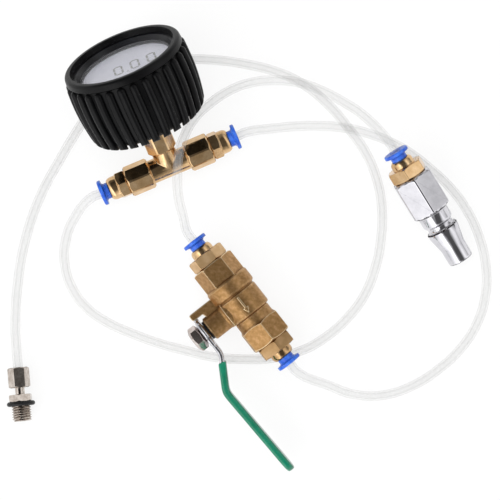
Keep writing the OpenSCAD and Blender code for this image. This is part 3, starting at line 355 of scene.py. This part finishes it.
def makeLensMaterial(look):
    material, tree, shader = startMaterial("clearAcrylic", look["colours"][0])
    place = addNode(tree, "ShaderNodeTexCoord")
    smear = addNode(tree, "ShaderNodeTexNoise", {"Vector": place.outputs["Object"], "Scale": perMm(look["patch"]),
                                                 "Detail": 3.0})
    tint = addNode(tree, "ShaderNodeValToRGB", {"Fac": smear.outputs["Fac"]})
    tint.color_ramp.elements[0].color = hexColour(look["colours"][0])
    tint.color_ramp.elements[1].color = hexColour(look["colours"][1])
    shine = addNode(tree, "ShaderNodeMapRange", {"Value": smear.outputs["Fac"], "To Min": look["roughness"][0],
                                                 "To Max": look["roughness"][1], **noiseSpan})
    tree.links.new(tint.outputs["Color"], shader.inputs["Base Color"])
    tree.links.new(shine.outputs["Result"], shader.inputs["Roughness"])
    for socket, value in look["shader"].items():
        shader.inputs[socket].default_value = value
    return material


# display glass over a reflector film: lavender grey, a faint sparkle of the film
displayLook = {"colours": ("#c5c5d1", "#cdcdd7", "#d4d4dd"), "span": (0.36, 0.64), "patch": 16, "grain": 0.35,
               "patchShare": 0.75, "grainShare": 0.25, "roughness": (0.42, 0.6)}


def makeDisplayMaterial(look):
    material, tree, shader = startMaterial("displayFilm", look["colours"][1])
    place = addNode(tree, "ShaderNodeTexCoord")
    cloud = addNode(tree, "ShaderNodeTexNoise", {"Vector": place.outputs["Object"], "Scale": perMm(look["patch"]),
                                                 "Detail": 2.0})
    speck = addNode(tree, "ShaderNodeTexNoise", {"Vector": place.outputs["Object"], "Scale": perMm(look["grain"]),
                                                 "Detail": 2.0})
    mixed = addNode(tree, "ShaderNodeMath", {0: cloud.outputs["Fac"], 1: look["patchShare"]}, operation="MULTIPLY")
    faint = addNode(tree, "ShaderNodeMath", {0: speck.outputs["Fac"], 1: look["grainShare"], 2: mixed.outputs[0]},
                    operation="MULTIPLY_ADD")
    tint = addNode(tree, "ShaderNodeValToRGB", {"Fac": faint.outputs[0]})
    stops = tint.color_ramp.elements
    stops[0].position, stops[0].color = look["span"][0], hexColour(look["colours"][0])
    stops[1].position, stops[1].color = look["span"][1], hexColour(look["colours"][2])
    stops.new(0.5).color = hexColour(look["colours"][1])
    shine = addNode(tree, "ShaderNodeMapRange", {"Value": speck.outputs["Fac"], "To Min": look["roughness"][0],
                                                 "To Max": look["roughness"][1]})
    tree.links.new(tint.outputs["Color"], shader.inputs["Base Color"])
    tree.links.new(shine.outputs["Result"], shader.inputs["Roughness"])
    return material


# the valve's fittings: turned brass with a duller hexagon, its length and the blend in mm; the outlet's darker
# colours are painted shade
barHexagon = {"length": 5, "blend": 0.1, "inlet": {"colours": ("#cba678", "#d8b486", "#e5c499"), "duller": 0.28},
              # the outlet's copy of the brass is darker only as painted shade; it is the same brass as the inlet
              "outlet": {"colours": ("#ae8c62", "#bb986c", "#c9a67c"), "duller": 0.36}}
for port in ("inlet", "outlet"):
    seat, out = Vector(ports[port][0]), Vector(ports[port][1])
    drawn = {"way": out, "end": seat.dot(out) + barHexagon["length"] * mm, "blend": barHexagon["blend"] * mm,
             "duller": barHexagon[port]["duller"]}
    look = dict(finishes["turnedBrass"], colours=barHexagon[port]["colours"], drawn=drawn)
    materials[port + "Brass"] = makeFinish(port + "Brass", look)
materials["clearPolyurethane"] = makeHoseMaterial(hoseLook)
materials["clearAcrylic"] = makeLensMaterial(lensLook)
materials["displayFilm"] = makeDisplayMaterial(displayLook)
print("materials made:", len(materials))

# finishes of the CAD nodes
nodeFinish = {
    "mouldedRubber": ("gauge_boot",),
    "mouldedAbs": ("gauge_case", "gauge_bezel", "pressure_sensor"),
    # the stem packing's black rim under the lever also stands in for the shadow line there: partly painted shade
    "nitrileRubber": ("lens_gasket", "strut_o_ring", "stem_packing"),
    "clearAcrylic": ("gauge_lens",),
    "displayFilm": ("display",),
    "boardLaminate": ("circuit_board",),
    "cellCan": ("coin_cell",),
    "turnedBrass": ("gauge_stem", "stem_nut", "tee_body", "strut_clamp_ring", "valve_stem"),
    "forgedBrass": ("valve_body", "valve_end_cap"),
    "chromePlate": ("air_plug", "valve_ball"),
    "nickelPlate": ("strut_nut", "strut_body"),
    "zincSteel": ("lever",),
    "zincNut": ("lever_nut",),
    "dippedVinyl": ("lever_sleeve",),
    "turnedPtfe": ("inlet_seat", "outlet_seat", "thrust_washer"),
}
for port in ("tee_left", "tee_right", "inlet", "outlet", "plug"):
    for ending, finish in (("fitting", "turnedBrass"), ("collet", "mouldedAcetal"),
                           ("grip_ring", "springSteel"), ("seal", "nitrileRubber")):
        if ending == "fitting" and port + "Brass" in materials:
            finish = port + "Brass"
        nodeFinish[finish] = nodeFinish.get(finish, ()) + (port + "_" + ending,)
for finish, names in nodeFinish.items():
    for name in names:
        nodes[name].data.materials.clear()
        nodes[name].data.materials.append(materials[finish])
print("nodes finished:", sum(len(v) for v in nodeFinish.values()))


# edges of the metal pieces, broken as turning and plating leave them: width in mm
brokenEdges = {
    0.6: ("air_plug",),
    0.8: ("lever",),
    0.25: ("lever_nut", "strut_nut", "gauge_stem", "tee_body", "tee_left_fitting", "tee_right_fitting",
           "inlet_fitting", "outlet_fitting", "plug_fitting"),
}
edgeBreak = {"weld": 0.004, "flat": 0.5, "corner": 24, "segments": 3}  # mm, degrees, degrees


def breakEdges(node, width):
    join = node.modifiers.new("join", "WELD")
    join.merge_threshold = edgeBreak["weld"] * mm
    flat = node.modifiers.new("flat", "DECIMATE")
    flat.decimate_type = "DISSOLVE"
    flat.angle_limit = math.radians(edgeBreak["flat"])
    edge = node.modifiers.new("edge", "BEVEL")
    edge.width = width * mm
    edge.segments = edgeBreak["segments"]
    edge.limit_method = "ANGLE"
    edge.angle_limit = math.radians(edgeBreak["corner"])
    edge.use_clamp_overlap = False
    edge.harden_normals = True


for width, names in brokenEdges.items():
    for name in names:
        breakEdges(nodes[name], width)
print("edges broken")


def settle(piece, finish, slotName, body, *replaced):
    piece.data.materials.clear()
    piece.data.materials.append(materials[finish])
    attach(piece, body)
    if replaced:
        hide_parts(*replaced)


# boot: the solid, with the slight crown that the moulded sides have
crownedBoot = {"back": 21.6, "length": 30.1, "crown": 1.2, "cuts": 10, "inward": -0.5}


def makeBoot(size):
    boot = copyNode("crownedBoot", "gauge_boot")
    axis = teeFrame.to_3x3() @ Vector((0, 0, 1))
    for cut in range(1, size["cuts"]):
        level = size["back"] + size["length"] * cut / size["cuts"]
        bpy.ops.mesh.select_all(action="SELECT")
        bpy.ops.mesh.bisect(plane_co=teeFrame @ Vector((0, 0, level * mm)), plane_no=axis)
    bpy.ops.object.mode_set(mode="OBJECT")
    inTee = teeFrame.inverted()
    turned = inTee.to_3x3()
    normals = [turned @ vertex.normal for vertex in boot.data.vertices]
    for vertex, normal in zip(boot.data.vertices, normals):
        local = inTee @ vertex.co
        away = Vector((local.x, local.y, 0)).normalized()
        if normal.dot(away) < size["inward"]:  # the hollow keeps its size
            continue
        share = min(1, max(0, (local.z / mm - size["back"]) / size["length"]))
        vertex.co = teeFrame @ (local + away * size["crown"] * math.sin(math.pi * share) * mm)
    bpy.ops.object.shade_smooth_by_angle(angle=smoothAngle)
    settle(boot, "mouldedRubber", "boot_rubber", "tester", "gauge_boot")
    print("boot crowned,", len(boot.data.polygons), "faces")


makeBoot(crownedBoot)

# threaded strut fitting: the solid body up to the thread, and a real thread on it
strutThread = {"start": 15.7, "end": 21.9, "radius": 4.0, "depth": 0.6, "pitch": 1.0, "sides": 48, "cuts": 62,
               "bore": 1.25, "boreShare": 0.9, "overlap": 0.05, "steep": 1.25, "root": 0.1, "leadIn": 0.7,
               "leadCut": 0.5, "deepest": 0.9}


def makeStrutFitting(size):
    fitting = copyNode("strutFitting", "strut_body")
    axis = strutFrame.to_3x3() @ Vector((0, 0, 1))
    bpy.ops.mesh.bisect(plane_co=strutFrame @ Vector((0, 0, (size["start"] + size["overlap"]) * mm)), plane_no=axis,
                        clear_outer=True, use_fill=True)
    bpy.ops.object.mode_set(mode="OBJECT")
    clearSelection()
    length = size["end"] - size["start"]
    bpy.ops.mesh.primitive_cylinder_add(vertices=size["sides"], radius=size["radius"] * mm, depth=length * mm,
                                        location=(0, 0, (size["start"] + length / 2) * mm))
    thread = bpy.context.object
    bpy.ops.object.transform_apply(location=True, rotation=True, scale=True)
    bpy.ops.object.mode_set(mode="EDIT")
    bpy.ops.mesh.select_all(action="DESELECT")
    bpy.ops.mesh.select_mode(type="EDGE")
    bpy.ops.object.mode_set(mode="OBJECT")
    for edge in thread.data.edges:  # the long edges of the side
        a, b = (thread.data.vertices[i].co for i in edge.vertices)
        edge.select = abs(a.z - b.z) > length * mm * nearlyAll
    bpy.ops.object.mode_set(mode="EDIT")
    bpy.ops.mesh.subdivide(number_cuts=size["cuts"])
    bpy.ops.mesh.select_mode(type="FACE")
    bpy.ops.mesh.select_all(action="DESELECT")
    bpy.ops.object.mode_set(mode="OBJECT")
    for face in thread.data.polygons:
        face.select = face.normal.z > nearlyAll
    bpy.ops.object.mode_set(mode="EDIT")
    bpy.ops.mesh.inset(thickness=(size["radius"] - size["bore"]) * mm)
    bpy.ops.mesh.extrude_region_move(TRANSFORM_OT_translate={"value": (0, 0, -length * size["boreShare"] * mm)})
    bpy.ops.object.mode_set(mode="OBJECT")
    for vertex in thread.data.vertices:  # the flank rises and falls once a turn's pitch
        co = vertex.co
        r = math.hypot(co.x, co.y)
        if r < size["radius"] * mm * nearlyAll:
            continue
        along = co.z / mm
        phase = (along / size["pitch"] - math.atan2(co.y, co.x) / (2 * math.pi)) % 1
        rise = 1 - abs(2 * phase - 1)
        rise = min(1, max(0, rise * size["steep"] - size["root"]))
        fromEnd = min(1, (size["end"] - along) / size["leadIn"])
        cut = size["depth"] * (1 - rise) + size["leadCut"] * (1 - fromEnd)
        newR = (size["radius"] - min(cut, size["deepest"])) * mm
        co.x, co.y = co.x / r * newR, co.y / r * newR
    thread.data.transform(strutFrame)
    makeActive(fitting)
    thread.select_set(True)
    bpy.ops.object.join()
    bpy.ops.object.shade_smooth_by_angle(angle=smoothAngle)
    settle(fitting, "nickelPlate", "nickel_plating", "tester", "strut_body")
    print("strut fitting threaded, pitch", size["pitch"], "mm")


makeStrutFitting(strutThread)

# dipped sleeve on the lever: the solid, softened as a dipped skin is
dippedSleeve = {"voxel": 0.32, "smooth": 80, "factor": 0.5, "rim": 0.05, "blend": 7.0}


def makeSleeve(size):
    sleeve = copyNode("dippedSleeve", "lever_sleeve")
    bpy.ops.object.mode_set(mode="OBJECT")
    remesh = sleeve.modifiers.new("skin", "REMESH")
    remesh.mode = "VOXEL"
    remesh.voxel_size = size["voxel"] * mm
    bpy.ops.object.modifier_apply(modifier="skin")
    inValve = valveFrame.inverted()
    reaches = [(inValve @ vertex.co).x / mm for vertex in sleeve.data.vertices]
    start = min(reaches)
    rounded = sleeve.vertex_groups.new(name="rounded")  # little near the rim, where the skin is thin
    for index, reach in enumerate(reaches):
        rounded.add([index], min(1, max(size["rim"], (reach - start) / size["blend"])), "REPLACE")
    soften = sleeve.modifiers.new("soften", "SMOOTH")
    soften.factor = size["factor"]
    soften.iterations = size["smooth"]
    soften.vertex_group = "rounded"
    bpy.ops.object.modifier_apply(modifier="soften")
    bpy.ops.object.shade_smooth()
    settle(sleeve, "dippedVinyl", "green_vinyl", "valve_lever", "lever_sleeve")
    print("sleeve softened,", len(sleeve.data.polygons), "faces")


makeSleeve(dippedSleeve)

# display digits, reading 0.00
displayDigits = {"face": 45.9, "lift": 0.02, "width": 4.0, "height": 8.5, "stroke": 0.85, "gap": 0.14, "thick": 0.04,
                 "places": (-3.5, 3.5, 10.5), "pointAt": (0.0, -4.1), "pointSize": 0.55}


def makeSegment(length, stroke, thick, angle, place):
    clearSelection()
    bpy.ops.mesh.primitive_circle_add(vertices=6, radius=1, fill_type="NGON", location=(0, 0, 0))
    segment = bpy.context.object
    for vertex in segment.data.vertices:  # a long hexagon with pointed ends
        x, y = vertex.co.x, vertex.co.y
        tip = abs(y) > nearlyAll
        vertex.co.y = math.copysign(length / 2 if tip else length / 2 - stroke / 2, y) * mm
        vertex.co.x = 0 if tip else math.copysign(stroke / 2, x) * mm
    bpy.ops.object.mode_set(mode="EDIT")
    bpy.ops.mesh.select_all(action="SELECT")
    bpy.ops.mesh.extrude_region_move(TRANSFORM_OT_translate={"value": (0, 0, thick * mm)})
    bpy.ops.mesh.select_all(action="SELECT")
    bpy.ops.mesh.normals_make_consistent(inside=False)
    bpy.ops.object.mode_set(mode="OBJECT")
    shift = Matrix.Translation(Vector((place[0] * mm, place[1] * mm, 0)))
    segment.data.transform(shift @ Matrix.Rotation(angle, 4, "Z"))
    return segment


def makeDigits(size):
    stroke, thick, gap, point = size["stroke"], size["thick"], size["gap"], size["pointSize"] * 2
    halfW, halfH = size["width"] / 2 - stroke / 2, size["height"] / 2 - stroke / 2
    made = []
    for place in size["places"]:
        for side in (-1, 1):
            for up in (-1, 1):
                made.append(makeSegment(halfH - 2 * gap, stroke, thick, 0, (place + side * halfW, up * halfH / 2)))
            made.append(makeSegment(2 * halfW - 2 * gap, stroke, thick, math.pi / 2, (place, side * halfH)))
    made.append(makeSegment(point, point, thick, 0, size["pointAt"]))
    makeActive(made[0])
    for segment in made:
        segment.select_set(True)
    bpy.ops.object.join()
    digits = bpy.context.object
    digits.name = "displayDigits"
    digits.data.transform(teeFrame @ Matrix.Translation(Vector((0, 0, (size["face"] + size["lift"]) * mm))))
    settle(digits, "crystalOn", "display_panel", "tester")
    print("digits set:", len(made), "segments")


makeDigits(displayDigits)

# flow arrow raised on the valve's chamber
flowArrow = {"from": -3.4, "to": 4.2, "shaft": 0.9, "head": 2.6, "headLen": 2.4, "tip": 0.12, "height": 0.7,
             "edge": 0.12, "radius": 9.0, "proud": 0.5, "smooth": 35}


def makeArrow(size):
    clearSelection()
    bpy.ops.mesh.primitive_plane_add(size=1, location=(0, 0, 0))
    arrow = bpy.context.object
    for vertex in arrow.data.vertices:
        vertex.co.x = (size["from"] if vertex.co.x < 0 else size["to"] - size["headLen"]) * mm
        vertex.co.y = math.copysign(size["shaft"] / 2, vertex.co.y) * mm
    bpy.ops.object.mode_set(mode="EDIT")
    bpy.ops.mesh.select_mode(type="EDGE")
    bpy.ops.mesh.select_all(action="DESELECT")
    bpy.ops.object.mode_set(mode="OBJECT")
    for edge in arrow.data.edges:
        edge.select = all(arrow.data.vertices[i].co.x > 0 for i in edge.vertices)
    bpy.ops.object.mode_set(mode="EDIT")
    bpy.ops.mesh.extrude_region_move(TRANSFORM_OT_translate={"value": (0, 0, 0)})
    bpy.ops.transform.resize(value=(1, size["head"] / size["shaft"], 1))
    bpy.ops.mesh.extrude_region_move(TRANSFORM_OT_translate={"value": (size["headLen"] * mm, 0, 0)})
    bpy.ops.transform.resize(value=(1, size["tip"], 1))
    bpy.ops.mesh.select_all(action="SELECT")
    bpy.ops.mesh.remove_doubles(threshold=mergeGap)
    bpy.ops.mesh.extrude_region_move(TRANSFORM_OT_translate={"value": (0, 0, size["height"] * mm)})
    bpy.ops.mesh.select_all(action="SELECT")
    bpy.ops.mesh.normals_make_consistent(inside=False)
    bpy.ops.object.mode_set(mode="OBJECT")
    arrow.name = "flowArrow"
    soften = arrow.modifiers.new("edge", "BEVEL")
    soften.width = size["edge"] * mm
    soften.segments = 2
    bpy.ops.object.modifier_apply(modifier="edge")
    toTop = Matrix.Translation(Vector((0, (size["radius"] + size["proud"] - size["height"]) * mm, 0)))
    arrow.data.transform(valveFrame @ toTop @ Matrix.Rotation(-math.pi / 2, 4, "X"))
    bpy.ops.object.shade_smooth_by_angle(angle=math.radians(size["smooth"]))
    settle(arrow, "forgedBrass", "cast_brass", "tester")
    print("flow arrow raised")


makeArrow(flowArrow)

# hoses given their material and attached to their body in place of their CAD tubes, now that the pieces on them exist
for hoseName, hoseFacts in hoses.items():
    piece = hoseFacts["piece"]
    settle(piece, "clearPolyurethane", "clear_hose", "tester", hoseFacts["node"])
print("hoses declared:", len(hoses))

# floor, world and lamps
floorLook = {"size": 4.0, "drop": -0.0002, "colour": "#f4f4f3", "shadow": 0.14,
             "shader": {"Roughness": 0.9, "Specular IOR Level": 0.0}}


def makeFloor(look):
    clearSelection()
    bpy.ops.mesh.primitive_plane_add(size=look["size"], location=(0, 0, look["drop"]))
    floor = bpy.context.object
    floor.name = "tableTop"
    material, tree, shader = startMaterial("whiteTable", look["colour"])
    shader.inputs["Base Color"].default_value = hexColour(look["colour"])
    for socket, value in look["shader"].items():
        shader.inputs[socket].default_value = value
    rays = addNode(tree, "ShaderNodeLightPath")
    seen = addNode(tree, "ShaderNodeMath", {0: rays.outputs["Is Camera Ray"], 1: rays.outputs["Is Glossy Ray"]},
                   operation="MAXIMUM")
    through = addNode(tree, "ShaderNodeMath", {0: seen.outputs[0], 1: rays.outputs["Is Transmission Ray"]},
                      operation="MAXIMUM")
    share = addNode(tree, "ShaderNodeMath", {0: through.outputs[0], 1: 1 - look["shadow"]}, operation="MULTIPLY")
    white = addNode(tree, "ShaderNodeEmission", {"Color": (1, 1, 1, 1), "Strength": 1.0})
    mixed = addNode(tree, "ShaderNodeMixShader", {0: share.outputs[0], 1: shader.outputs[0], 2: white.outputs[0]})
    tree.links.new(mixed.outputs[0], tree.nodes["Material Output"].inputs["Surface"])
    floor.data.materials.append(material)


makeFloor(floorLook)

# a light tent: white walls to the lower left and the upper right, a dark opening for the camera along its ridge
tentLook = {"across": (-0.78, -0.62, 0.0), "along": (0.62, -0.78, 0.0), "halfAcross": 0.48, "halfAlong": 1.1,
            "opening": 0.1, "rim": (0.75, 1.2),
            "walls": ((0.0, 0.2), (0.035, 0.42), (0.09, 0.82), (0.17, 1.3), (0.3, 1.0), (0.7, 1.1), (0.79, 2.6),
                      (0.86, 1.8), (0.93, 1.4), (1.0, 0.85)), "farFrom": -0.75, "farTo": -0.2, "far": 0.4}


def makeTent(look):
    world = bpy.data.worlds.new("lightTent")
    scene.world = world
    world.use_nodes = True
    tree = world.node_tree
    way = addNode(tree, "ShaderNodeTexCoord")
    across = addNode(tree, "ShaderNodeVectorMath", {0: way.outputs["Generated"], 1: look["across"]},
                     operation="DOT_PRODUCT")
    along = addNode(tree, "ShaderNodeVectorMath", {0: way.outputs["Generated"], 1: look["along"]},
                    operation="DOT_PRODUCT")
    fromBack = addNode(tree, "ShaderNodeMapRange", {"Value": across.outputs["Value"], "From Min": -1.0,
                                                    "From Max": 1.0})
    wall = addNode(tree, "ShaderNodeValToRGB", {"Fac": fromBack.outputs["Result"]})
    stops = wall.color_ramp.elements
    stops[0].color = (look["walls"][0][1],) * 3 + (1,)
    stops[1].color = (look["walls"][-1][1],) * 3 + (1,)
    for place, glow in look["walls"][1:-1]:
        stops.new(place).color = (glow,) * 3 + (1,)
    shortWay = addNode(tree, "ShaderNodeMath", {0: across.outputs["Value"], 1: look["halfAcross"]},
                       operation="DIVIDE")
    longWay = addNode(tree, "ShaderNodeMath", {0: along.outputs["Value"], 1: look["halfAlong"]}, operation="DIVIDE")
    axes = addNode(tree, "ShaderNodeSeparateXYZ", {0: way.outputs["Generated"]})
    overhead = addNode(tree, "ShaderNodeMath", {0: axes.outputs["Z"], 1: 0.0}, operation="GREATER_THAN")
    oval = addNode(tree, "ShaderNodeCombineXYZ", {0: shortWay.outputs[0], 1: longWay.outputs[0]})
    reach = addNode(tree, "ShaderNodeVectorMath", {0: oval.outputs[0]}, operation="LENGTH")
    rimmed = addNode(tree, "ShaderNodeMapRange", {"Value": reach.outputs["Value"], "From Min": look["rim"][0],
                                                  "From Max": look["rim"][1], "To Min": look["opening"],
                                                  "To Max": 1.0})
    hole = addNode(tree, "ShaderNodeMix", {"Factor": overhead.outputs[0], 2: 1.0, 3: rimmed.outputs["Result"]},
                   data_type="FLOAT")
    far = addNode(tree, "ShaderNodeMapRange", {"Value": along.outputs["Value"], "From Min": look["farFrom"],
                                               "From Max": look["farTo"], "To Min": look["far"], "To Max": 1.0})
    level = addNode(tree, "ShaderNodeMath", {0: hole.outputs[0], 1: far.outputs["Result"]}, operation="MULTIPLY")
    dimmed = addNode(tree, "ShaderNodeVectorMath", {0: wall.outputs["Color"], "Scale": level.outputs[0]},
                     operation="SCALE")
    tree.links.new(dimmed.outputs["Vector"], tree.nodes["Background"].inputs["Color"])
    tree.nodes["Background"].inputs["Strength"].default_value = 1.0


makeTent(tentLook)

lampAim = Vector((0.02, 0, 0))
lamps = {
    "keyLamp": {"place": (-0.50, -0.62, 0.48), "size": 0.70, "power": 2.0, "inMetal": False},
    "topLamp": {"place": (-0.10, 0.10, 0.95), "size": 0.80, "power": 6.5, "inMetal": False},
}
for lampName, lamp in lamps.items():
    clearSelection()
    aim = (lampAim - Vector(lamp["place"])).to_track_quat("-Z", "Y").to_euler()
    bpy.ops.object.light_add(type="AREA", location=lamp["place"], rotation=aim)
    made = bpy.context.object
    made.name = lampName
    made.data.size = lamp["size"]
    made.data.energy = lamp["power"]
    made.visible_glossy = lamp["inMetal"]
print("table, tent and lamps set")
